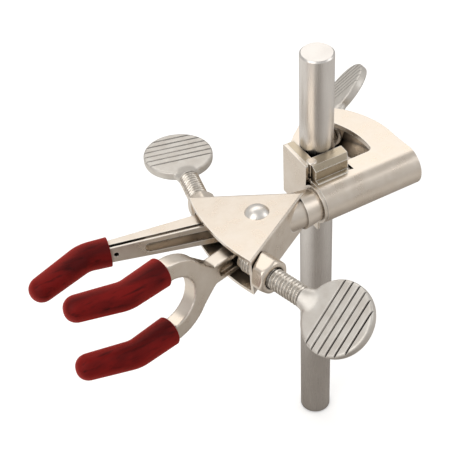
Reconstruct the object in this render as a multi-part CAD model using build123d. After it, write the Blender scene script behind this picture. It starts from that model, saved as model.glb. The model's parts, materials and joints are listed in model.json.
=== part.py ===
"""Three-finger swivel clamp with its rod holder, on a length of support rod.

Units are millimetres. +Z runs up the rod, the origin is the centre of the rod's lower end,
+X runs along the swivel spindle from the fingers towards the holder, and +Y points to the
side where the holder's screw sits.
"""
from build123d import *
from math import cos, sin, tan, radians
import os

# ---- support rod -------------------------------------------------------------------------
ROD_R = 6.35
ROD_LENGTH = 190.0
ROD_CHAMFER = 0.6

# ---- swivel axis, parallel to X, and the clamp head's own frame on it --------------------
AXIS_Y = -15.4
AXIS_Z = 135.4
RIVET_X = -34.9
HEAD_ROLL = -4.4
HEAD = Location((RIVET_X, AXIS_Y, AXIS_Z), (HEAD_ROLL, 0, 0))

# ---- clearances --------------------------------------------------------------------------
RUN = 0.06
GAP = 0.3

# ---- holder ------------------------------------------------------------------------------
TUBE_R = 7.7
SPINDLE_R = 6.35
EAR_T = 2.0
WALL_T = 2.0
PLATE_X = -10.9
PLATE_T = 1.2
EAR_LEFT = PLATE_X + PLATE_T
EAR_RIGHT = 31.8
EAR_BACK_LEFT = (EAR_LEFT, 6.0)
WINDOW_FRONT = -8.6
WINDOW_CORNER_R = 2.5
NOTCH = ((7.0, -10.6), (7.3, -13.9), (5.0, -13.5))
NOTCH_DEPTH = 0.9
JAW_T = 2.6
JAW_TOP = 149.2
JAW_RIGHT = 6.6
JAW_FACE = ROD_R + 0.05
COUNTERBORE_X = 24.5
COUNTERBORE_R = 7.0
SPINDLE_END_X = 27.5
RING_T = 1.2
RING_SEAT_R = 5.4

# ---- rod screw: level, at 45 degrees through the holder's rear wall ------------------------
ROD_SCREW_WALL = 29.0
ROD_SCREW_NUT_IN = 21.0
ROD_SCREW_NUT_R = 5.5
ROD_SCREW_DISC = 49.4
ROD_SCREW = Plane((0, 0, AXIS_Z), x_dir=(-0.5, 0.5, 0.71), z_dir=(1, 1, 0))

# ---- screws: 5/16-18 thread with a flat grooved head -------------------------------------
THREAD_R = 3.9
THREAD_HOLE_R = THREAD_R + RUN
DISC_R = 13.5
DISC_T = 3.6
GROOVE_START = -4.6
GROOVE_PITCH = 3.0
GROOVE_COUNT = 6
GROOVE_W = 0.55
GROOVE_DEPTH = 0.45
NECK_LENGTH = 8.0
PAD_T = 2.2
STUD_R = 1.5
STUD_LENGTH = 2.0

# ---- clamp head: a folded triangular housing ---------------------------------------------
SHEET_T = 1.2
HALF_H = 7.6
INNER_H = HALF_H - SHEET_T
APEX_U = 20.0
HALF_ANGLE = 32.0
CORNER = (-15.6, 22.2)
ARC_U = -18.8
SCREW_TILT = 12.5
SCREW_AT_WALL = 36.5
NEAR_TIP = -6.25
FAR_TIP = -2.9
ARM_DISC = 37.5
NEAR_NUT_FLATS = 12.2
FAR_NUT_FLATS = 9.8
NUT_LENGTH = 7.6
RIVET_R = 2.5
RIVET_HEAD_R = 4.5
RIVET_HEAD_H = 2.4
BUSH_R = 3.5

# ---- arms, drawn straight out along -X and then turned open ------------------------------
ARM_ANGLE = 13.8
LUG_R = 5.2
LUG_W = (0.5, 2.9)
STEM_T0 = 1.3
STEM_T1 = 7.2
STEM_HALF_H = 4.0
STEM_MID = (STEM_T0 + STEM_T1) / 2
YOKE_S = 47.6
YOKE_IN_R = 10.2
YOKE_OUT_R = 16.7
PRONG_W = (YOKE_IN_R + YOKE_OUT_R) / 2
PRONG_SIZE = YOKE_OUT_R - YOKE_IN_R
SLEEVE_R = 5.2
SLEEVE_BEND_R = 16.0
CORE_R = 2.6
TANG_R = 1.35
# each finger: start, bend, offset of the straight part, tip, offset of the tip
FORK_FINGER = (YOKE_S + 0.8, 64.0, STEM_MID - 0.3, 78.6, -3.4)
SINGLE_FINGER = (53.6, 63.0, 7.2, 80.0, -3.9)

# ---- the single finger's arm, folded from sheet -------------------------------------------
CHANNEL_T = 0.9
CHANNEL_OUT = ((-56.0, 9.5), (-20.0, 10.9), (-8.5, 9.6))
CHANNEL_IN = ((-56.0, 4.9), (-20.0, 3.3), (-8.5, 2.9))
CHANNEL_END_H = 3.0
CHANNEL_ROOT_H = 4.3
SLOT_LENGTH = 33.0
SLOT_W = 4.0
SEAM_W = 1.4
SEAM_FLOOR = 1.5
SEAM_END = -13.0

# ---- arm spring ---------------------------------------------------------------------------
WIRE_R = 0.45
COIL_PITCH = 1.1
COIL_TURNS = 2
SPRING_LEG = 7.0


def polar(length, angle):
    """The point at a distance and an angle in degrees from +X."""
    return (length * cos(radians(angle)), length * sin(radians(angle)))


def block(x0, x1, y0, y1, z0, z1):
    """A box between two values on each axis."""
    centre = Pos((x0 + x1) / 2, (y0 + y1) / 2, (z0 + z1) / 2)
    return centre * Box(abs(x1 - x0), abs(y1 - y0), abs(z1 - z0))


def slab(face, z0, z1):
    """A flat outline given thickness between two heights."""
    return Pos(0, 0, z0) * extrude(face, z1 - z0)


def rod_along_x(radius, x0, x1, y=0.0, z=0.0):
    """A cylinder parallel to X."""
    return Pos((x0 + x1) / 2, y, z) * Rot(0, 90, 0) * Cylinder(radius, x1 - x0)


def drum(radius, z0, z1):
    """A cylinder on the Z axis between two heights."""
    return Pos(0, 0, (z0 + z1) / 2) * Cylinder(radius, z1 - z0)


# ---- rod and holder ----------------------------------------------------------------------
def support_rod():
    """The plain round rod."""
    rod = drum(ROD_R, 0, ROD_LENGTH)
    return chamfer(rod.edges().filter_by(GeomType.CIRCLE), ROD_CHAMFER)


def ear_outline():
    """Outline of the holder seen from above, from the spindle line back round the screw."""
    right = (31.2, -6.0)
    shoulder = (21.5, 19.8)
    back = (11.5, 24.3)
    front = Line((EAR_LEFT, AXIS_Y), (EAR_RIGHT, AXIS_Y)) + Line((EAR_RIGHT, AXIS_Y), right)
    arch = ThreePointArc(right, (28.4, 9.6), shoulder) + ThreePointArc(shoulder, (17.2, 23.3), back)
    left = Line(back, (-1.0, 14.6)) + Line((-1.0, 14.6), EAR_BACK_LEFT)
    return make_face(front + arch + left + Line(EAR_BACK_LEFT, (EAR_LEFT, AXIS_Y)))


def ear_window():
    """The quarter-round opening in both ears that the rod passes through."""
    corner = (19.2, WINDOW_FRONT)
    side = (16.2, 11.9)
    back = (6.5, 14.6)
    front_left = (EAR_LEFT + PLATE_T, WINDOW_FRONT)
    back_left = (EAR_LEFT + PLATE_T, 3.6)
    rim = ThreePointArc(corner, (19.3, 2.6), side) + ThreePointArc(side, (12.2, 15.0), back)
    outline = Line(front_left, corner) + rim + Line(back, back_left) + Line(back_left, front_left)
    face = make_face(outline)
    return fillet(face.vertices().sort_by_distance((*corner, 0))[0], WINDOW_CORNER_R)


def holder_body():
    """Hollow box with two ears and a tube along its front edge for the spindle."""
    low = AXIS_Z - TUBE_R
    high = AXIS_Z + TUBE_R
    outline = ear_outline()
    shell = slab(outline, low, high)
    shell -= slab(offset(outline, -WALL_T), low + EAR_T, high - EAR_T)
    shell += rod_along_x(TUBE_R, EAR_LEFT, EAR_RIGHT, AXIS_Y, AXIS_Z)
    shell -= rod_along_x(SPINDLE_R + RUN, EAR_LEFT - 1, EAR_RIGHT + 1, AXIS_Y, AXIS_Z)
    shell -= rod_along_x(COUNTERBORE_R, COUNTERBORE_X, EAR_RIGHT + 1, AXIS_Y, AXIS_Z)
    shell -= slab(ear_window(), low - 1, high + 1)
    jaw_back = -JAW_FACE - JAW_T
    shell -= block(EAR_LEFT - 1, JAW_RIGHT, jaw_back, -JAW_FACE + 1, low - 1, high + 1)
    shell -= block(EAR_LEFT - 1, -JAW_FACE + 1, jaw_back, 5.6, low - 1, high + 1)
    shell -= slab(make_face(Polyline(*NOTCH, close=True)), high - NOTCH_DEPTH, high + 1)
    return shell - ROD_SCREW.location * drum(ROD_SCREW_NUT_R, ROD_SCREW_NUT_IN, ROD_SCREW_WALL + 4)


def rod_screw_nut():
    """Threaded boss fixed in the holder's rear wall."""
    boss = drum(ROD_SCREW_NUT_R, ROD_SCREW_NUT_IN, ROD_SCREW_WALL)
    boss = chamfer(boss.edges().filter_by(GeomType.CIRCLE), 0.5)
    return ROD_SCREW.location * (boss - drum(THREAD_HOLE_R, 0, 60))


def end_plate():
    """Sheet across the holder's open end, with an eye for the spindle."""
    eye = Pos(AXIS_Y, AXIS_Z) * Circle(TUBE_R - 0.2)
    upper = Pos((-9.6 + 6.0) / 2, (JAW_TOP + 126.5) / 2) * Rectangle(15.6, JAW_TOP - 126.5)
    foot = Pos(-13.6, 128.2) * Rectangle(8.0, 7.4)
    outline = eye + upper + foot - Pos(AXIS_Y, AXIS_Z) * Circle(SPINDLE_R + RUN)
    outline = fillet(outline.vertices().sort_by(Axis.Y)[-2:], 0.8)
    return Plane.YZ.offset(PLATE_X).location * extrude(outline, PLATE_T)


def v_jaw():
    """Right-angled jaw: the rod lies in its corner and its front leg bears on the spindle."""
    inner = -JAW_FACE
    outer = inner - JAW_T
    low = AXIS_Z - TUBE_R + 0.6
    left_leg = block(EAR_LEFT, inner, outer, 5.5, low, JAW_TOP)
    front_leg = block(EAR_LEFT, JAW_RIGHT - 0.1, outer, inner, low, JAW_TOP)
    base = AXIS_Z + TUBE_R
    profile = Polyline((inner, base), (inner, JAW_TOP), (-10.6, JAW_TOP), (-13.0, JAW_TOP - 1.3),
                       (-13.0, JAW_TOP - 5.4), (-14.4, JAW_TOP - 5.7), (-14.9, base), close=True)
    step = Plane.YZ.offset(-8.7).location * extrude(make_face(profile), 15.3)
    trim = Polyline((-8.8, inner), (6.6, inner), (6.5, -10.6), (4.0, -15.0), (-8.8, -15.0), close=True)
    step = step & slab(make_face(trim), base, JAW_TOP)
    return left_leg + front_leg + step - jaw_pin()


def jaw_pin():
    """Round pin through the jaw's corner."""
    return Pos(-7.5, -8.2, 0) * chamfer(drum(1.8, 143.4, JAW_TOP + 0.3).edges().sort_by(Axis.Z)[-1], 0.3)


# ---- thumbscrews, each built along its own +Z, outwards from what it presses --------------
def screw_shaft(z0, z1):
    """Threaded shaft with a socket in its inner end for the pad's stud."""
    shaft = drum(THREAD_R, z0, z1)
    shaft = chamfer(shaft.edges().filter_by(GeomType.CIRCLE), 0.6)
    return shaft - drum(STUD_R + RUN, z0 - 1, z0 + STUD_LENGTH + GAP)


def screw_pad(z0):
    """Pad on the shaft's inner end; its stud sits in the shaft so that it need not turn."""
    pad = chamfer(drum(THREAD_R - 0.6, z0 - PAD_T, z0 - RUN).edges().filter_by(GeomType.CIRCLE), 0.4)
    return pad + drum(STUD_R, z0 - PAD_T / 2, z0 + STUD_LENGTH)


def screw_head(disc_z, shaft_end):
    """Flat round head with straight grooves across both faces and a flared neck."""
    disc = Pos(0, 0, disc_z) * Rot(0, 90, 0) * Cylinder(DISC_R, DISC_T)
    disc = fillet(disc.edges().filter_by(GeomType.CIRCLE), 0.7)
    neck_low = disc_z - DISC_R - NECK_LENGTH / 2
    foot = Pos(0, 0, neck_low) * Circle(THREAD_R + 0.5)
    flare = Pos(0, 0, neck_low + NECK_LENGTH) * Ellipse(1.7, 7.6)
    head = disc + loft([foot, flare])
    for side in (-1, 1):
        for index in range(GROOVE_COUNT):
            height = disc_z + GROOVE_START + index * GROOVE_PITCH
            groove = Box(2 * GROOVE_DEPTH, 2 * DISC_R, GROOVE_W)
            head -= Pos(side * DISC_T / 2, 0, height) * groove
    return head - drum(THREAD_R, 0, shaft_end)


def thumbscrew(frame, tip_z, disc_z):
    """Shaft, head and pad of one screw, moved to its place."""
    shaft_end = disc_z - DISC_R + 0.5
    place = frame.location
    return {"shaft": place * screw_shaft(tip_z, shaft_end),
            "head": place * screw_head(disc_z, shaft_end),
            "pad": place * screw_pad(tip_z)}


# ---- clamp head, in its own frame: u from the rivet to the holder, v across, w up ---------
def wall_point(side):
    """Where an arm screw's axis crosses the outside of the housing's side wall."""
    length = SCREW_AT_WALL
    return (APEX_U - length * cos(radians(HALF_ANGLE)), side * length * sin(radians(HALF_ANGLE)), 0)


def arm_screw_frame(side, groove_dir):
    """Plane at the wall with its normal out along the screw."""
    outwards = (sin(radians(SCREW_TILT)), side * cos(radians(SCREW_TILT)), 0)
    across = Vector(*groove_dir).cross(Vector(*outwards))
    return Plane(wall_point(side), x_dir=across, z_dir=outwards)


NEAR_SCREW = arm_screw_frame(-1, (0.70, 0.16, 0.70))
FAR_SCREW = arm_screw_frame(1, (0.95, -0.21, -0.05))


def housing_outline():
    """Outline of the housing from above: two straight walls and a bowed front edge."""
    left, right = (CORNER[0], CORNER[1]), (CORNER[0], -CORNER[1])
    apex = (APEX_U, 0)
    return make_face(Line(apex, left) + ThreePointArc(left, (ARC_U, 0), right) + Line(right, apex))


def wedge(tip):
    """A long wedge with the housing's angle, closing at a point on the head's own axis."""
    length = 60
    far = (tip - length, length * tan(radians(HALF_ANGLE)))
    return make_face(Polyline((tip, 0), far, (far[0], -far[1]), close=True))


def housing_inside():
    """The space between the two side walls, open at the front."""
    return wedge(APEX_U - SHEET_T / sin(radians(HALF_ANGLE)))


def head_channel():
    """Top and both side walls, folded from one sheet."""
    outline = housing_outline()
    shell = slab(outline, -HALF_H, HALF_H)
    fold = shell.faces().sort_by(Axis.Z)[-1].edges().filter_by(GeomType.LINE)
    shell = fillet(fold, 0.9)
    shell -= slab(housing_inside(), -HALF_H - 1, INNER_H)
    shell -= spindle_body()
    for frame in (NEAR_SCREW, FAR_SCREW):
        shell -= frame.location * drum(THREAD_HOLE_R, -8, 8)
    return shell - drum(RIVET_R, 0, HALF_H + 1)


def head_base_plate():
    """Bottom plate between the side walls."""
    outline = housing_outline() & housing_inside()
    plate = slab(outline, -HALF_H, -INNER_H)
    return plate - spindle_body() - drum(RIVET_R, -HALF_H - 1, 0)


def arm_screw_nut(frame, flats):
    """Hexagonal threaded boss standing on the side wall."""
    hexagon = RegularPolygon(flats / 2, 6, major_radius=False)
    turned = chamfer(drum(flats / 2 + 0.6, -6, NUT_LENGTH).edges().sort_by(Axis.Z)[-1], 1.1)
    boss = slab(hexagon, -6, NUT_LENGTH) & turned
    boss = frame.location * (boss - drum(THREAD_HOLE_R, -10, 20))
    return boss - slab(wedge(APEX_U), -20, 20)


def spindle_body():
    """The spindle's solid form: a plain stub with a flare where it leaves the housing."""
    stub = rod_along_x(SPINDLE_R, 9.5, SPINDLE_END_X - RIVET_X)
    flare = Pos(20.2, 0, 0) * Rot(0, 90, 0) * Cone(7.2, SPINDLE_R, 6.0)
    return stub + flare


def swivel_spindle():
    """Stub that turns in the holder's tube, with a groove for its retaining ring."""
    spindle = spindle_body()
    ring_u = COUNTERBORE_X - RIVET_X + 0.2
    spindle -= ring_band(ring_u, RING_SEAT_R)
    return chamfer(spindle.edges().sort_by(Axis.X)[-1], 0.6)


def ring_band(start_u, inner_r, outer_r=COUNTERBORE_R + 1):
    """A flat ring round the spindle's axis."""
    end_u = start_u + RING_T
    return rod_along_x(outer_r, start_u, end_u) - rod_along_x(inner_r, start_u - 1, end_u + 1)


def retaining_ring():
    """Open ring in the spindle's groove."""
    ring_u = COUNTERBORE_X - RIVET_X + 0.2
    ring = ring_band(ring_u, RING_SEAT_R, COUNTERBORE_R - 0.15)
    return ring - block(ring_u - 1, ring_u + 3, -1.3, 1.3, -10, 0)


def pivot_rivet():
    """Rivet with a domed head above and a flat head below."""
    sphere_r = (RIVET_HEAD_R ** 2 + RIVET_HEAD_H ** 2) / (2 * RIVET_HEAD_H)
    dome = Pos(0, 0, HALF_H + RIVET_HEAD_H - sphere_r) * Sphere(sphere_r)
    dome = dome & drum(RIVET_HEAD_R + 1, HALF_H, HALF_H + 10)
    foot = chamfer(drum(4.0, -HALF_H - 2.2, -HALF_H - 0.8).edges().sort_by(Axis.Z)[0], 0.5)
    return dome + drum(RIVET_R, -HALF_H - 1, HALF_H + 0.1) + foot


def rivet_washer():
    """Washer between the rivet's lower head and the base plate."""
    return drum(5.2, -HALF_H - 0.8, -HALF_H) - drum(RIVET_R, -20, 0)


def pivot_bush():
    """Sleeve on the rivet that both arms turn on."""
    return drum(BUSH_R, -INNER_H, INNER_H) - drum(RIVET_R, -20, 20)


def arm_spring():
    """Torsion spring on the bush, with a leg towards each arm."""
    coil_r = BUSH_R + WIRE_R + 0.4
    coil_low = 0.35
    helix = Pos(0, 0, coil_low) * Helix(COIL_PITCH, COIL_TURNS * COIL_PITCH, coil_r)
    coil = sweep(Plane(helix @ 0, z_dir=helix % 0) * Circle(WIRE_R), path=helix, is_frenet=True)
    legs = []
    for end, tangent in ((helix @ 0, -1 * (helix % 0)), (helix @ 1, helix % 1)):
        legs.append(Plane(end, z_dir=tangent).location * drum(WIRE_R, 0, SPRING_LEG))
    return Rot(0, 0, 95) * (coil + legs[0] + legs[1])


# ---- arms --------------------------------------------------------------------------------
def arm_place(side):
    """Turns an arm drawn along -X with its outer side at +Y onto its side of the head."""
    if side > 0:
        return Rot(0, 0, -ARM_ANGLE)
    return Rot(0, 0, ARM_ANGLE) * Rot(180, 0, 0)


def finger_path(start_s, bend_s, offset_t, tip_s, tip_t, w):
    """Centre line of a finger: straight, one smooth bend inwards, then straight."""
    points = [(-start_s, offset_t, w), (-bend_s, offset_t, w), (-tip_s, tip_t, w)]
    return FilletPolyline(*points, radius=SLEEVE_BEND_R)


def round_finger(path, radius):
    """A round bar along a finger's centre line, with a ball at its tip."""
    bar = sweep(Plane(path @ 0, z_dir=path % 0) * Circle(radius), path=path)
    return bar + Pos(path @ 1) * Sphere(radius)


def fork_lug():
    """Thin eye that turns on the bush, joined to the stem."""
    eye = drum(LUG_R, *LUG_W)
    edge = LUG_R - 0.05
    web = Polyline((0, -edge), (-9, 1.4), (-9, STEM_T1), (0, edge), close=True)
    return eye + slab(make_face(web), *LUG_W)


def fork_arm():
    """One casting: lug, stem, open yoke and the two finger cores."""
    width = STEM_T1 - STEM_T0
    stem = block(-YOKE_S + YOKE_OUT_R + 2, -7.0, STEM_T0, STEM_T1, -STEM_HALF_H + 0.5, STEM_HALF_H - 0.5)
    pad = block(-32.2, -7.0, STEM_T0, STEM_T1, -STEM_HALF_H, STEM_HALF_H)
    ring = Circle(YOKE_OUT_R) - Circle(YOKE_IN_R)
    ring -= Pos(-40, 0) * Rectangle(80, 80)
    neck = Polyline((YOKE_OUT_R - 3, 9.5), (YOKE_OUT_R + 3.5, 3.5), (YOKE_OUT_R + 3.5, -3.5),
                    (YOKE_OUT_R - 3, -9.5), (YOKE_OUT_R - 4.5, 0), close=True)
    side_plane = Plane((-YOKE_S, STEM_T1, 0), x_dir=(1, 0, 0), z_dir=(0, -1, 0))
    yoke = side_plane.location * extrude(ring + make_face(neck), width)
    arm = yoke + stem + pad
    for w in (-PRONG_W, PRONG_W):
        arm += block(-YOKE_S - 1.5, -YOKE_S, STEM_T0 + 0.3, STEM_T1 - 0.3, w - 2.9, w + 2.9)
        arm += round_finger(finger_path(*FORK_FINGER, w), CORE_R)
    arm += fork_lug()
    arm -= drum(BUSH_R + RUN, -10, 10)
    slot = Pos(-16.0, STEM_T1, 0) * Rot(90, 0, 0) * extrude(SlotOverall(19.0, 4.0), 1.6, both=True)
    return arm - slot


def sleeve(finger, w):
    """Dipped vinyl cover over one finger core."""
    return round_finger(finger_path(*finger, w), SLEEVE_R)


def channel_outline():
    """Outline of the folded arm from above."""
    return make_face(Polyline(*CHANNEL_OUT, *reversed(CHANNEL_IN), close=True))


def channel_side(inset):
    """Side view of the folded arm, deeper at its root."""
    end = CHANNEL_END_H - inset
    root = CHANNEL_ROOT_H - inset
    upper = ((-60, end), (-16, root), (5, root))
    lower = [(s, -w) for s, w in reversed(upper)]
    return make_face(Polyline(*upper, *lower, close=True))


def channel_seam():
    """The open seam along the folded arm's top, beside its inner wall."""
    near = [(s, t + CHANNEL_T - 0.1) for s, t in CHANNEL_IN]
    far = [(s, t + SEAM_W) for s, t in reversed(near)]
    strip = slab(make_face(Polyline(*near, *far, close=True)), SEAM_FLOOR, 10)
    return strip & block(-60, SEAM_END, 0, 10, 0, 10)


def side_prism(face):
    """A side view carried right across the arm."""
    return Plane((0, 30, 0), x_dir=(1, 0, 0), z_dir=(0, -1, 0)).location * extrude(face, 60)


def single_arm():
    """Arm folded from sheet to a box with an open seam, and two eyes on the bush."""
    outside = slab(channel_outline(), -10, 10) & side_prism(channel_side(0))
    inside = slab(offset(channel_outline(), -CHANNEL_T), -10, 10) & side_prism(channel_side(CHANNEL_T))
    arm = outside - inside - block(-57, -54, 5.8, 8.6, -2.1, 2.1)
    arm -= block(-60, 0, 8.0, 12.0, -2.6, 2.6) & block(-12, 0, 0, 20, -10, 10)
    edge = LUG_R - 0.05
    eye = Circle(LUG_R) + make_face(Polyline((0, -edge), (-10, 3.2), (-10, 9.0), (0, edge), close=True))
    for side in (-1, 1):
        low, high = sorted((side * (CHANNEL_ROOT_H - CHANNEL_T), side * CHANNEL_ROOT_H))
        arm += slab(eye, low, high)
    arm -= drum(BUSH_R + RUN, -10, 10)
    slot_face = SlotOverall(SLOT_LENGTH, SLOT_W)
    slot = Pos(-24.5, 3.5, 0) * Rot(90, 0, 0) * extrude(slot_face, 2.4, both=True)
    arm -= slot & block(-60, 0, 0, 5.6, -10, 10)
    hole = Pos(-51.5, 4.0, 0) * Rot(90, 0, 0) * Cylinder(0.9, 4)
    return arm - hole - channel_seam()


def single_finger():
    """Bent core with a thin tang held in the end of the folded arm."""
    start = -CHANNEL_OUT[0][0] + 0.2
    path = finger_path(start, *SINGLE_FINGER[1:], 0)
    tang = rod_along_x(TANG_R, -start - 1, -start + 10, SINGLE_FINGER[2])
    return round_finger(path, CORE_R) + tang


def build():
    """Every node of the model in its place."""
    nodes = {"support_rod": support_rod(), "holder_body": holder_body(), "holder_end_plate": end_plate(),
             "v_jaw": v_jaw(), "jaw_pin": jaw_pin(), "rod_screw_nut": rod_screw_nut()}
    for name, piece in thumbscrew(ROD_SCREW, JAW_FACE + PAD_T + 0.1, ROD_SCREW_DISC).items():
        nodes["rod_screw_" + name] = piece
    head = {"head_channel": head_channel(), "head_base_plate": head_base_plate(),
            "swivel_spindle": swivel_spindle(), "spindle_retaining_ring": retaining_ring(),
            "pivot_rivet": pivot_rivet(), "rivet_washer": rivet_washer(), "pivot_bush": pivot_bush(),
            "arm_spring": arm_spring(),
            "near_screw_nut": arm_screw_nut(NEAR_SCREW, NEAR_NUT_FLATS),
            "far_screw_nut": arm_screw_nut(FAR_SCREW, FAR_NUT_FLATS)}
    for label, frame, tip in (("near", NEAR_SCREW, NEAR_TIP), ("far", FAR_SCREW, FAR_TIP)):
        for name, piece in thumbscrew(frame, tip, ARM_DISC).items():
            head[label + "_screw_" + name] = piece
    fork_place = arm_place(-1)
    single_place = arm_place(1)
    fork = fork_arm()
    channel = single_arm()
    core = single_finger()
    head["fork_arm"] = fork_place * fork
    head["fork_upper_sleeve"] = fork_place * (sleeve(FORK_FINGER, -PRONG_W) - fork)
    head["fork_lower_sleeve"] = fork_place * (sleeve(FORK_FINGER, PRONG_W) - fork)
    head["single_arm"] = single_place * channel
    head["single_finger"] = single_place * core
    head["single_sleeve"] = single_place * (sleeve(SINGLE_FINGER, 0) - channel - core)
    for name, piece in head.items():
        nodes[name] = HEAD * piece
    return nodes


os.makedirs("parts", exist_ok=True)
for name, piece in build().items():
    export_step(piece, "parts/" + name + ".step")
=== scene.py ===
"""Looks for the three-finger swivel clamp on its length of support rod.

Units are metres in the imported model's frame: +Z up the rod, +X from the fingers towards the holder.
"""
import json
import math
import bmesh
import bpy
from mathutils import Euler, Matrix, Vector


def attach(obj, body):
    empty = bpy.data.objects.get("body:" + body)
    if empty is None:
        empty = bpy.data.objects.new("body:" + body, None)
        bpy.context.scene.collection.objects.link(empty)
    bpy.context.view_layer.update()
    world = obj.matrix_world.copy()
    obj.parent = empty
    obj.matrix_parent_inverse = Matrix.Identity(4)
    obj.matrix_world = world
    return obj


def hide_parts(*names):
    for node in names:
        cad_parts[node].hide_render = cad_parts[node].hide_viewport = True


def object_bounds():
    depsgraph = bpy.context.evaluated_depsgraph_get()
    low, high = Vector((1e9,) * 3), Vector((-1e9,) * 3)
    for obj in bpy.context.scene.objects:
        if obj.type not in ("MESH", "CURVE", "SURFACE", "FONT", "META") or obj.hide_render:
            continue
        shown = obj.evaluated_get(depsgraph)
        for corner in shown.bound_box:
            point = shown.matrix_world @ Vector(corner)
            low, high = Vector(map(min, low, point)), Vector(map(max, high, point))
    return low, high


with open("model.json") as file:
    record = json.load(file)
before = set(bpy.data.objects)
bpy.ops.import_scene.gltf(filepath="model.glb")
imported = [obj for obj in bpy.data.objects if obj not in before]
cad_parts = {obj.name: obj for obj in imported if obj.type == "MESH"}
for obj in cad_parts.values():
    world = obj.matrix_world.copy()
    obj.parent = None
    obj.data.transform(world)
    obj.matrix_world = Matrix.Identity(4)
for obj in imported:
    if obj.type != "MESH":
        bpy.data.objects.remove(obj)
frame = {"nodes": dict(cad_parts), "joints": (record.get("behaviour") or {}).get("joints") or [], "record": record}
cad_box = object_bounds()

MM = 0.001
NODES = frame["nodes"]
JOINTS = {joint["name"]: joint for joint in frame["joints"]}
BODY_OF = {node: body for body, nodes in frame["record"]["behaviour"]["bodies"].items() for node in nodes}
SLOT_OF = {part["node"]: part["material_slot"] for part in frame["record"]["subparts"]}


# ---- materials ---------------------------------------------------------------------------
class Surface:
    """A principled material with short calls for the nodes that break it up."""

    def __init__(self, name, colour, roughness, metallic=1.0):
        self.material = bpy.data.materials.new(name)
        self.material.use_nodes = True
        self.tree = self.material.node_tree
        self.shader = self.tree.nodes["Principled BSDF"]
        self.shader.inputs["Base Color"].default_value = (*colour, 1)
        self.shader.inputs["Roughness"].default_value = roughness
        self.shader.inputs["Metallic"].default_value = metallic
        self.place = self.tree.nodes.new("ShaderNodeTexCoord").outputs["Object"]

    def set(self, **values):
        """Sets the shader's own inputs, with _ for a space in their names."""
        for name, value in values.items():
            self.shader.inputs[name.replace("_", " ")].default_value = value
        return self

    def link(self, source, target):
        self.tree.links.new(source, target)

    def noise(self, per_metre, stretch=(1, 1, 1), detail=3.0, distortion=0.0):
        """Noise in the object's own metres, so many features to the metre, squeezed along an axis."""
        mapping = self.tree.nodes.new("ShaderNodeMapping")
        mapping.inputs["Scale"].default_value = stretch
        self.link(self.place, mapping.inputs["Vector"])
        node = self.tree.nodes.new("ShaderNodeTexNoise")
        node.inputs["Scale"].default_value = per_metre
        node.inputs["Detail"].default_value = detail
        node.inputs["Distortion"].default_value = distortion
        self.link(mapping.outputs["Vector"], node.inputs["Vector"])
        return node.outputs["Fac"]

    def remap(self, source, from_low, from_high, low, high):
        """A value moved from one range to another, held at its ends."""
        node = self.tree.nodes.new("ShaderNodeMapRange")
        limits = {"From Min": from_low, "From Max": from_high, "To Min": low, "To Max": high}
        for name, value in limits.items():
            node.inputs[name].default_value = value
        self.link(source, node.inputs["Value"])
        return node.outputs["Result"]

    def mixed(self, factor, first, second):
        """A colour between two, by a factor."""
        node = self.tree.nodes.new("ShaderNodeMix")
        node.data_type = "RGBA"
        self.link(factor, node.inputs["Factor"])
        first_input, second_input = 6, 7
        for index, colour in ((first_input, first), (second_input, second)):
            if isinstance(colour, tuple):
                node.inputs[index].default_value = (*colour, 1)
            else:
                self.link(colour, node.inputs[index])
        return node.outputs[2]

    def colour(self, source):
        self.link(source, self.shader.inputs["Base Color"])
        return self

    def rough(self, source, low, high):
        """Roughness between two values, led by a noise."""
        self.link(self.remap(source, 0.3, 0.7, low, high), self.shader.inputs["Roughness"])
        return self

    def edge_highlight_and_wear(self, width):
        """How strongly a point lies on a convex edge, from 0 to 1; the mask for a painted highlight along edges
        that also stands for edge wear.
        """
        bevel = self.tree.nodes.new("ShaderNodeBevel")
        bevel.inputs["Radius"].default_value = width
        geometry = self.tree.nodes.new("ShaderNodeNewGeometry")
        dot = self.tree.nodes.new("ShaderNodeVectorMath")
        dot.operation = "DOT_PRODUCT"
        self.link(bevel.outputs["Normal"], dot.inputs[0])
        self.link(geometry.outputs["Normal"], dot.inputs[1])
        return self.remap(dot.outputs["Value"], 1.0, 0.9, 0.0, 1.0)

    def painted_gap_shade(self, reach, closed=0.25, clear=0.85):
        """Mask for painted shade in gaps: how freely a point sees out, from 0 deep in a gap, painted dark, to 1 on
        an open face.
        """
        node = self.tree.nodes.new("ShaderNodeAmbientOcclusion")
        node.samples = 8
        node.inputs["Distance"].default_value = reach
        return self.remap(node.outputs["AO"], closed, clear, 0.0, 1.0)

    def rim_light(self):
        """How far a surface turns away from whoever looks at it, from 0 face on to 1 edge on."""
        node = self.tree.nodes.new("ShaderNodeLayerWeight")
        node.inputs["Blend"].default_value = 0.4
        return self.remap(node.outputs["Facing"], 0.15, 0.8, 0.0, 1.0)

    def position_along(self, direction):
        """Distance in metres along a fixed direction."""
        node = self.tree.nodes.new("ShaderNodeVectorMath")
        node.operation = "DOT_PRODUCT"
        self.link(self.place, node.inputs[0])
        node.inputs[1].default_value = direction
        return node.outputs["Value"]

    def relief(self, *layers, edge=0.0):
        """Bump from layers of (source, depth in metres), over an optional rounded edge."""
        normal = None
        if edge:
            bevel = self.tree.nodes.new("ShaderNodeBevel")
            bevel.inputs["Radius"].default_value = edge
            normal = bevel.outputs["Normal"]
        for source, depth in layers:
            bump = self.tree.nodes.new("ShaderNodeBump")
            bump.inputs["Strength"].default_value = 1.0
            bump.inputs["Distance"].default_value = depth
            self.link(source, bump.inputs["Height"])
            if normal is not None:
                self.link(normal, bump.inputs["Normal"])
            normal = bump.outputs["Normal"]
        self.link(normal, self.shader.inputs["Normal"])
        return self


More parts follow.
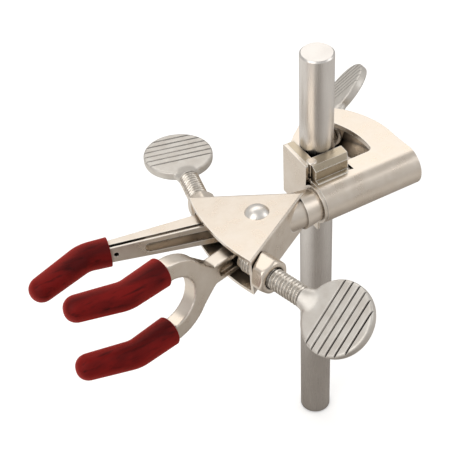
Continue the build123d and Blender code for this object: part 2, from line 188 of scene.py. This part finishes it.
def steel_rod():
    """Drawn bar: fine lines along its length, a few dull patches, and painted shade in gaps where other parts
    close in.
    """
    s = Surface("steel_rod", (0.56, 0.54, 0.525), 0.3)
    lines = s.noise(5200, (1, 1, 0.012), detail=2)
    patches = s.noise(90, (1, 1, 0.4))
    body = s.mixed(s.remap(patches, 0.35, 0.7, 0, 1), (0.72, 0.685, 0.65), (0.80, 0.77, 0.735))
    # painted shade: the colour turns near black in gaps and where other parts close in on the rod
    s.colour(s.mixed(s.painted_gap_shade(3 * MM), (0.12, 0.105, 0.09), body))
    s.rough(lines, 0.24, 0.38)
    s.relief((lines, 4e-6), (patches, 6e-6), edge=0.2 * MM)
    return s.material


def nickel_plate(name="nickel_plate", low=(0.71, 0.625, 0.53), high=(0.79, 0.715, 0.63)):
    """Warm bright plating over sheet and castings, a little cloudy, with a painted highlight (partly edge wear)
    along its edges and painted shade in its gaps.
    """
    s = Surface(name, high, 0.3)
    cloud = s.noise(160, detail=4)
    grain = s.noise(2600, detail=2)
    rub = s.noise(900, (1, 0.08, 1), detail=3, distortion=0.3)
    body = s.mixed(s.remap(cloud, 0.35, 0.68, 0, 1), low, high)
    # painted highlight, partly edge wear: convex edges mixed towards near white
    bright = s.mixed(s.edge_highlight_and_wear(0.55 * MM), body, (0.97, 0.94, 0.89))
    # painted shade: near black in gaps and recesses
    s.colour(s.mixed(s.painted_gap_shade(3.5 * MM, 0.2, 0.75), (0.06, 0.048, 0.038), bright))
    s.rough(cloud, 0.24, 0.36)
    s.relief((grain, 3e-6), (rub, 5e-6), (cloud, 2e-5), edge=0.28 * MM)
    return s.material


def cast_head():
    """Matte plated casting with a fine skin, a painted highlight (partly edge wear) on its ridge edges and painted
    shade in its grooves.
    """
    s = Surface("cast_head", (0.68, 0.645, 0.60), 0.5)
    skin = s.noise(3300, detail=4)
    cloud = s.noise(210, detail=3)
    body = s.mixed(s.remap(cloud, 0.35, 0.7, 0, 1), (0.64, 0.60, 0.55), (0.73, 0.70, 0.655))
    # painted highlight, partly edge wear: ridge edges mixed lighter
    bright = s.mixed(s.edge_highlight_and_wear(0.3 * MM), body, (0.88, 0.86, 0.82))
    # painted shade: near black in the grooves and other gaps
    s.colour(s.mixed(s.painted_gap_shade(1.5 * MM, 0.5, 0.93), (0.06, 0.05, 0.042), bright))
    s.rough(skin, 0.40, 0.55)
    s.relief((skin, 1.6e-5), (cloud, 3e-5), edge=0.2 * MM)
    return s.material


def thread_steel():
    """Bright plated screw steel, with painted shade in its roots and darker traces where the thread has rubbed."""
    s = Surface("thread_steel", (0.76, 0.70, 0.62), 0.27)
    rub = s.noise(700, detail=5)
    body = s.mixed(s.remap(rub, 0.45, 0.7, 0, 1), (0.80, 0.745, 0.67), (0.50, 0.44, 0.37))
    # painted shade: near black in the thread's roots and other gaps
    s.colour(s.mixed(s.painted_gap_shade(1.5 * MM), (0.05, 0.04, 0.03), body))
    s.rough(rub, 0.2, 0.36)
    s.relief((s.noise(3000), 5e-6), edge=0.12 * MM)
    return s.material


def spring_steel():
    """Plain dark spring wire."""
    s = Surface("spring_steel", (0.40, 0.385, 0.37), 0.33)
    wear = s.noise(700, detail=4)
    s.colour(s.mixed(s.remap(wear, 0.4, 0.7, 0, 1), (0.42, 0.40, 0.38), (0.28, 0.26, 0.24)))
    s.rough(s.noise(2500), 0.26, 0.42)
    s.relief((s.noise(4000), 3e-6))
    return s.material


def polished_rivet():
    """Polished dome with a soft cloudy sheen, and painted shade where it meets the sheet."""
    s = Surface("polished_rivet", (0.84, 0.80, 0.75), 0.3)
    cloud = s.noise(420, detail=4)
    body = s.mixed(s.remap(cloud, 0.35, 0.7, 0, 1), (0.80, 0.755, 0.70), (0.88, 0.85, 0.81))
    # painted shade: near black where the dome meets the sheet
    s.colour(s.mixed(s.painted_gap_shade(1.2 * MM), (0.06, 0.05, 0.04), body))
    s.rough(s.noise(600), 0.27, 0.38)
    s.relief((s.noise(900), 5e-6), edge=0.15 * MM)
    return s.material


def red_vinyl():
    """Dipped vinyl: a painted sheen that turns the red lighter where it is seen edge on, a faint pebble skin, and
    dark streaks along the finger that paint a dark reflection.
    """
    s = Surface("red_vinyl", (0.20, 0.008, 0.007), 0.5, metallic=0.0)
    s.set(Specular_IOR_Level=0.1)
    slow = s.noise(190, (0.3, 1, 1), detail=3, distortion=0.2)
    streak = s.noise(700, (0.12, 1, 1), detail=4)
    skin = s.noise(1500, detail=3)
    red = s.mixed(s.remap(slow, 0.35, 0.65, 0, 1), (0.185, 0.007, 0.006), (0.085, 0.004, 0.004))
    # dark streaks along the finger, painted to stand for a dark reflection
    with_reflection_streaks = s.mixed(s.remap(streak, 0.54, 0.72, 0, 0.75), red, (0.035, 0.002, 0.002))
    # painted sheen: the red is mixed lighter where the surface is seen edge on
    s.colour(s.mixed(s.rim_light(), with_reflection_streaks, (0.42, 0.022, 0.013)))
    s.rough(skin, 0.42, 0.58)
    s.relief((skin, 1.5e-5), (slow, 1.2e-4))
    return s.material


MATERIALS = {make.__name__: make() for make in (
    steel_rod, nickel_plate, cast_head, thread_steel, spring_steel, polished_rivet, red_vinyl)}
# a darker copy of the plating, used on the jaw
JAW_FINISH = nickel_plate("nickel_plate_darker", low=(0.46, 0.39, 0.29), high=(0.55, 0.475, 0.365))


def finish_of(node):
    """A node's material: its slot's, or a darker copy of the plating on the jaw."""
    return JAW_FINISH if node == "v_jaw" else MATERIALS[SLOT_OF[node]]


# ---- places, all read from the frame -----------------------------------------------------
def joint_line(name):
    """A point on a joint's axis and the axis itself."""
    joint = JOINTS[name]
    return Vector(joint["pos_m"]), Vector(joint["axis"]).normalized()


def head_frame():
    """The clamp head's own frame: origin on the rivet, X along the spindle, Z up the rivet."""
    origin, up = joint_line("single_pivot")
    across = up.cross(Vector((1, 0, 0))).normalized()
    along = across.cross(up)
    return Matrix.Translation(origin) @ Matrix((along, across, up)).transposed().to_4x4()


def along(node, origin, axis):
    """How far a node reaches along an axis, and how far out from it."""
    points = [vertex.co - origin for vertex in NODES[node].data.vertices]
    heights = [point.dot(axis) for point in points]
    return min(heights), max(heights), max(point.cross(axis).length for point in points)


def thin_direction(node, origin, axis):
    """The direction across an axis in which a flat node is thinnest."""
    start = axis.orthogonal().normalized()
    points = [vertex.co - origin for vertex in NODES[node].data.vertices]

    def spread(degree):
        direction = Matrix.Rotation(math.radians(degree), 3, axis) @ start
        reach = [point.dot(direction) for point in points]
        return max(reach) - min(reach)
    best = min(range(0, 180), key=spread)
    return Matrix.Rotation(math.radians(best), 3, axis) @ start


# ---- mesh helpers ------------------------------------------------------------------------
def piece(name, mesh, node):
    """An object made of a finished mesh that stands for a CAD node, with its body and finish."""
    shown = bpy.data.objects.new(name, mesh)
    bpy.context.scene.collection.objects.link(shown)
    mesh.materials.clear()
    mesh.materials.append(finish_of(node))
    mesh.shade_smooth()
    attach(shown, BODY_OF[node])
    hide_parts(node)


def ringed(name, rings):
    """A closed skin over rings of points that all have the same count."""
    bm = bmesh.new()
    rows = [[bm.verts.new(point) for point in ring] for ring in rings]
    for low, high in zip(rows, rows[1:]):
        for index in range(len(low)):
            after = (index + 1) % len(low)
            bm.faces.new((low[index], low[after], high[after], high[index]))
    bm.faces.new(rows[0][::-1])
    bm.faces.new(rows[-1])
    bmesh.ops.recalc_face_normals(bm, faces=bm.faces)
    mesh = bpy.data.meshes.new(name)
    bm.to_mesh(mesh)
    bm.free()
    return mesh


def circle(radius, height, count):
    """Points round the Z axis at a height."""
    angles = [2 * math.pi / count * i for i in range(count)]
    return [Vector((radius * math.cos(angle), radius * math.sin(angle), height)) for angle in angles]


def modified(mesh, *modifiers):
    """The mesh after modifiers of (type, {setting: value}), applied in order."""
    helper = bpy.data.objects.new("helper", mesh)
    bpy.context.scene.collection.objects.link(helper)
    for kind, settings in modifiers:
        modifier = helper.modifiers.new(kind, kind)
        for setting, value in settings.items():
            setattr(modifier, setting, value)
    bpy.context.view_layer.update()
    shape = helper.evaluated_get(bpy.context.evaluated_depsgraph_get())
    result = bpy.data.meshes.new_from_object(shape)
    bpy.data.objects.remove(helper)
    return result


def softened(mesh, voxel, rounds):
    """A cast copy of a mesh: one skin over all of it, with its edges rounded."""
    return modified(mesh, ("REMESH", {"mode": "VOXEL", "voxel_size": voxel, "adaptivity": 0.0}),
                    ("SMOOTH", {"factor": 0.5, "iterations": rounds}))


# ---- screws ------------------------------------------------------------------------------
PITCH = 1.411 * MM
THREAD_DEPTH = 0.62 * MM
THREAD_CREST = 0.12
THREAD_FLANK = 0.76
THREAD_INTO_NECK = 0.8 * MM
SOCKET_R = 1.56 * MM
SOCKET_DEPTH = 2.3 * MM
ROUND = 48
SAMPLES = 10


def thread_radius(outer, height, angle):
    """Radius of a right-handed thread with slightly flat crests and roots."""
    phase = (height / PITCH - angle / (2 * math.pi)) % 1.0
    ramp = abs(2 * phase - 1)
    return outer - THREAD_DEPTH * min(max((ramp - THREAD_CREST) / THREAD_FLANK, 0), 1)


def threaded_shaft(label):
    """Screw shaft with a real helical thread and a chamfered end with the pad's socket."""
    node = label + "_screw_shaft"
    origin, axis = joint_line(label + "_screw_turn")
    low, high, outer = along(node, origin, axis)
    neck_start = along(label + "_screw_head", origin, axis)[0] + NECK_SHORTER
    high = min(high, neck_start + THREAD_INTO_NECK)
    turn = 2 * math.pi / ROUND
    rings = [circle(SOCKET_R, low + SOCKET_DEPTH, ROUND), circle(SOCKET_R, low, ROUND)]
    count = int((high - low) / PITCH * SAMPLES)
    for step in range(count + 1):
        height = low + (high - low) * step / count
        lead = min(height - low, high - height)
        limit = outer - THREAD_DEPTH + max(lead, 0)
        ring = [min(thread_radius(outer, height, i * turn), limit) for i in range(ROUND)]
        rings.append([Vector((r * math.cos(i * turn), r * math.sin(i * turn), height))
                      for i, r in enumerate(ring)])
    mesh = ringed(node, rings)
    mesh.transform(Matrix.Translation(origin) @ axis.to_track_quat("Z", "Y").to_matrix().to_4x4())
    piece(label + "_thread", mesh, node)


DISC_R = 13.5 * MM
DISC_HALF = 1.8 * MM
DISC_RIM = 0.9 * MM
DISC_EYE = 0.2 * MM
NECK_R = 3.95 * MM
NECK_REACH = 7.0 * MM
NECK_WIDE = 10.4 * MM
NECK_THIN = DISC_HALF * 0.9
NECK_STEPS = 18
NECK_SHORTER = 1.6 * MM
GROOVE_HALF_W = 0.38 * MM
GROOVE_DEPTH = 0.85 * MM
GROOVES = [(-4.6 + 3.0 * index) * MM for index in range(6)]


def disc_blank():
    """Flat disc with a rounded rim, lathed about X."""
    inner = DISC_R - DISC_RIM
    profile = [(DISC_HALF, DISC_EYE), (DISC_HALF, inner)]
    for step in range(1, 8):
        angle = math.pi * step / 8
        centre = DISC_HALF - DISC_RIM if angle < math.pi / 2 else DISC_RIM - DISC_HALF
        profile.append((centre + DISC_RIM * math.cos(angle), inner + DISC_RIM * math.sin(angle)))
    profile += [(-DISC_HALF, inner), (-DISC_HALF, DISC_EYE)]
    rings = [[Vector((x, p.x, p.y)) for p in circle(radius, 0, 72)] for x, radius in profile]
    return ringed("disc", rings)


def neck_blank(length):
    """Flared neck that rises from a round collar and spreads into the disc's two faces."""
    rings = []
    for step in range(NECK_STEPS + 1):
        share = step / NECK_STEPS
        height = -DISC_R - length + (length + DISC_R - NECK_REACH) * share
        thick = NECK_THIN + (NECK_R - NECK_THIN) * (1 - share) ** 1.8
        wide = NECK_R + (NECK_WIDE - NECK_R) * share ** 1.75
        rings.append([Vector((point.x * thick / NECK_R, point.y * wide / NECK_R, height))
                      for point in circle(NECK_R, 0, 40)])
    return ringed("neck", rings)


def joined(name, *meshes):
    """One mesh that holds several."""
    bm = bmesh.new()
    for mesh in meshes:
        bm.from_mesh(mesh)
    result = bpy.data.meshes.new(name)
    bm.to_mesh(result)
    bm.free()
    return result


def groove_cutters():
    """V-shaped bars laid across both faces of a disc."""
    bm = bmesh.new()
    for side in (-1, 1):
        for height in GROOVES:
            deep = side * (DISC_HALF - GROOVE_DEPTH)
            clear = side * (DISC_HALF + GROOVE_DEPTH)
            spread = 2 * GROOVE_HALF_W
            section = [(deep, height), (clear, height - spread), (clear, height + spread)]
            ends = [[bm.verts.new((x, y, z)) for x, z in section] for y in (-DISC_R * 1.1, DISC_R * 1.1)]
            bm.faces.new(ends[0])
            bm.faces.new(ends[1][::-1])
            for i in range(3):
                j = (i + 1) % 3
                bm.faces.new((ends[0][i], ends[1][i], ends[1][j], ends[0][j]))
    bmesh.ops.recalc_face_normals(bm, faces=bm.faces)
    mesh = bpy.data.meshes.new("grooves")
    bm.to_mesh(mesh)
    bm.free()
    return bpy.data.objects.new("grooves", mesh)


def screw_head(label):
    """Grooved cast disc whose neck flares out of the shaft."""
    node = label + "_screw_head"
    origin, axis = joint_line(label + "_screw_turn")
    low, high, _ = along(node, origin, axis)
    centre = high - DISC_R
    normal = thin_direction(node, origin, axis)
    neck = neck_blank(centre - DISC_R - low - NECK_SHORTER)
    blank = softened(joined(node, disc_blank(), neck), 0.3 * MM, 4)
    cutter = groove_cutters()
    bpy.context.scene.collection.objects.link(cutter)
    settings = {"operation": "DIFFERENCE", "solver": "EXACT", "object": cutter}
    mesh = modified(blank, ("BOOLEAN", settings))
    bpy.data.objects.remove(cutter)
    across = axis.cross(normal)
    turned = Matrix((normal, across, axis)).transposed().to_4x4()
    mesh.transform(Matrix.Translation(origin + centre * axis) @ turned)
    piece(label + "_grooved_head", mesh, node)


# ---- fingers -----------------------------------------------------------------------------
ARM_ANGLE = math.radians(13.8)
SLEEVE_MOUTH_R = 5.45 * MM
SLEEVE_TIP_R = 4.7 * MM
SLEEVE_CORE_R = 3.3 * MM
BEND_R = 9 * MM
FORK_SPREAD = 13.45 * MM
# start, bend and tip of each finger's centre line: distance out along the arm, and sideways
SINGLE_LINE = ((-53.6, 7.2), (-63.0, 7.2), (-80.0, -3.9))
FORK_LINE = ((-48.4, 3.95), (-64.0, 3.95), (-78.6, -3.4))


def bent_line(start, bend, tip, radius, step):
    """Points along a straight, an arc of a given radius and another straight, evenly spaced."""
    first, second = (bend - start).normalized(), (tip - bend).normalized()
    turn = first.angle(second)
    cut = radius * math.tan(turn / 2)
    inwards = (second - first * first.dot(second)).normalized()
    centre = bend - first * cut + inwards * radius
    lengths = ((bend - start).length - cut, radius * turn, (tip - bend).length - cut)
    points = []
    count = int(sum(lengths) / step)
    for index in range(count + 1):
        run = sum(lengths) * index / count
        if run <= lengths[0]:
            points.append(start + first * run)
        elif run <= lengths[0] + lengths[1]:
            angle = (run - lengths[0]) / radius
            points.append(centre - inwards * radius * math.cos(angle) + first * radius * math.sin(angle))
        else:
            points.append(bend + second * (cut + run - lengths[0] - lengths[1]))
    return points


def vinyl_sleeve(name, node, frame_matrix, flat_line, height):
    """Dipped sleeve: a cut mouth, a slow taper and a rounded end."""
    start, bend, tip = (Vector((x * MM, y * MM, height)) for x, y in flat_line)
    line = bent_line(start, bend, tip, BEND_R, 0.7 * MM)
    side = (bend - start).cross(tip - bend).normalized()
    total = len(line) - 1
    rings = []

    def ring(point, direction, radius):
        other = direction.cross(side).normalized()
        return [point + side * p.x + other * p.y for p in circle(radius, 0, 40)]

    first = (line[1] - line[0]).normalized()
    mouth = ((2.6, SLEEVE_CORE_R), (0.12, SLEEVE_CORE_R), (0.0, SLEEVE_CORE_R + 0.12 * MM),
             (0.0, SLEEVE_MOUTH_R - 0.42 * MM), (0.1, SLEEVE_MOUTH_R - 0.16 * MM), (0.36, SLEEVE_MOUTH_R))
    for depth, radius in mouth:
        rings.append(ring(line[0] + first * depth * MM, first, radius))
    for index in range(1, total + 1):
        share = index / total
        direction = (line[min(index + 1, total)] - line[index - 1]).normalized()
        radius = SLEEVE_MOUTH_R + (SLEEVE_TIP_R - SLEEVE_MOUTH_R) * share
        rings.append(ring(line[index], direction, radius))
    last = (line[-1] - line[-2]).normalized()
    for step in range(1, 11):
        angle = math.pi / 2 * step / 10.4
        reach = line[-1] + last * SLEEVE_TIP_R * math.sin(angle)
        rings.append(ring(reach, last, SLEEVE_TIP_R * math.cos(angle) ** 0.86))
    mesh = ringed(name, rings)
    mesh.transform(frame_matrix)
    piece(name, mesh, node)


def fingers():
    """The three sleeves, drawn straight out along -X in their arm's own frame."""
    head = head_frame()
    single = head @ Matrix.Rotation(-ARM_ANGLE, 4, "Z")
    fork = head @ Matrix.Rotation(ARM_ANGLE, 4, "Z") @ Matrix.Rotation(math.pi, 4, "X")
    vinyl_sleeve("single_vinyl", "single_sleeve", single, SINGLE_LINE, 0)
    for name, height in (("upper", -FORK_SPREAD), ("lower", FORK_SPREAD)):
        vinyl_sleeve(f"fork_{name}_vinyl", f"fork_{name}_sleeve", fork, FORK_LINE, height)


# ---- castings ----------------------------------------------------------------------------
def castings():
    """Cast and rounded copies of the fork and of the two hexagonal bosses."""
    piece("fork_casting", softened(NODES["fork_arm"].data.copy(), 0.3 * MM, 8), "fork_arm")
    for label in ("near", "far"):
        node = label + "_screw_nut"
        piece(label + "_boss", softened(NODES[node].data.copy(), 0.22 * MM, 44), node)


# ---- camera, floor and light -------------------------------------------------------------
CAMERA_AT = Vector((-0.2079, -0.3186, 0.4618))
CAMERA_TURN = -27.76
CAMERA_DOWN = 42.863
CAMERA_ROLL = 3.357
LENS = 106.08


def camera():
    """The camera that sees the clamp from above its fingers' side."""
    data = bpy.data.cameras.new("camera")
    data.lens = LENS
    data.sensor_width = 36
    data.clip_start = 0.01
    made = bpy.data.objects.new("camera", data)
    bpy.context.scene.collection.objects.link(made)
    turned = Euler((math.radians(90 - CAMERA_DOWN), 0, math.radians(CAMERA_TURN))).to_matrix().to_4x4()
    rolled = Matrix.Rotation(math.radians(-CAMERA_ROLL), 4, "Z")
    made.matrix_world = Matrix.Translation(CAMERA_AT) @ turned @ rolled
    bpy.context.scene.camera = made


FLOOR_HALF = 3.0
FLOOR_SEEN = (0.95, 0.95, 0.945)
# this colour and the next are painted reflection: the floor as the metal sees it in front and to the sides
FLOOR_MIRRORED = (0.36, 0.335, 0.31)
FLOOR_MIRRORED_SIDES = (0.97, 0.96, 0.94)
FLOOR_LEFT = (-0.885, 0.466, 0)
FLOOR_LIFT = 0.3


def floor():
    """A large pale sheet under the rod's lower end; seen by the camera it is evenly pale and glows a little, while
    in the metal's reflections it is painted grey in front and light to the camera's left and right, a painted
    reflection.
    """
    half = FLOOR_HALF
    corners = [(-half, -half, 0), (half, -half, 0), (half, half, 0), (-half, half, 0)]
    mesh = bpy.data.meshes.new("floor")
    mesh.from_pydata(corners, [], [(0, 1, 2, 3)])
    sheet = bpy.data.objects.new("floor", mesh)
    sheet.location.z = cad_box[0].z - 0.2 * MM
    bpy.context.scene.collection.objects.link(sheet)
    pale = Surface("floor_paper", FLOOR_SEEN, 0.9, metallic=0.0)
    seen = pale.tree.nodes.new("ShaderNodeLightPath").outputs["Is Camera Ray"]
    # painted reflection: rays not from the camera see the floor grey in front and light to the camera's left and
    # right, giving the metal dark middles and light sides
    to_left = pale.remap(pale.position_along(FLOOR_LEFT), 0.03, 0.16, 0, 1)
    to_right = pale.remap(pale.position_along(FLOOR_LEFT), -0.05, -0.2, 0, 0.6)
    mirrored = pale.mixed(to_right, pale.mixed(to_left, FLOOR_MIRRORED, FLOOR_MIRRORED_SIDES), FLOOR_MIRRORED_SIDES)
    pale.colour(pale.mixed(seen, mirrored, FLOOR_SEEN))
    pale.set(Emission_Color=(1, 1, 1, 1))
    pale.link(pale.remap(seen, 0, 1, 0, FLOOR_LIFT), pale.shader.inputs["Emission Strength"])
    pale.relief((pale.noise(400), 1e-5))
    mesh.materials.append(pale.material)


LIGHTS_AIM = Vector((-0.02, -0.01, 0.13))


def soft_box(name, azimuth, elevation, distance, size, power, colour=(1, 1, 1)):
    """An area light aimed at the clamp. Azimuth 0 stands on the camera's side of the object."""
    data = bpy.data.lights.new(name, "AREA")
    data.shape = "RECTANGLE"
    data.size, data.size_y = size
    data.energy = power
    data.color = colour
    light = bpy.data.objects.new(name, data)
    bpy.context.scene.collection.objects.link(light)
    a, e = math.radians(azimuth), math.radians(elevation)
    away = Vector((math.sin(a) * math.cos(e), -math.cos(a) * math.cos(e), math.sin(e)))
    light.location = LIGHTS_AIM + away * distance
    light.rotation_euler = (-away).to_track_quat("-Z", "Y").to_euler()


def lights():
    """Key from the left, fill from the right, a broad box behind, and a soft white surround."""
    soft_box("key", -75, 42, 0.9, (0.6, 0.9), 2.4, (1.0, 0.985, 0.96))
    soft_box("fill", 60, 30, 1.1, (0.5, 0.7), 1.2)
    soft_box("back", 165, 50, 1.0, (1.2, 0.6), 2.2, (1.0, 0.975, 0.94))
    world = bpy.data.worlds.new("studio")
    world.use_nodes = True
    world.node_tree.nodes["Background"].inputs["Color"].default_value = (1.0, 0.99, 0.98, 1)
    world.node_tree.nodes["Background"].inputs["Strength"].default_value = 0.6
    bpy.context.scene.world = world
    bpy.context.scene.view_settings.view_transform = "Standard"


for node_name, node_object in NODES.items():
    node_object.data.materials.clear()
    node_object.data.materials.append(finish_of(node_name))
for screw in ("near", "far", "rod"):
    threaded_shaft(screw)
    screw_head(screw)
fingers()
castings()
camera()
floor()
lights()
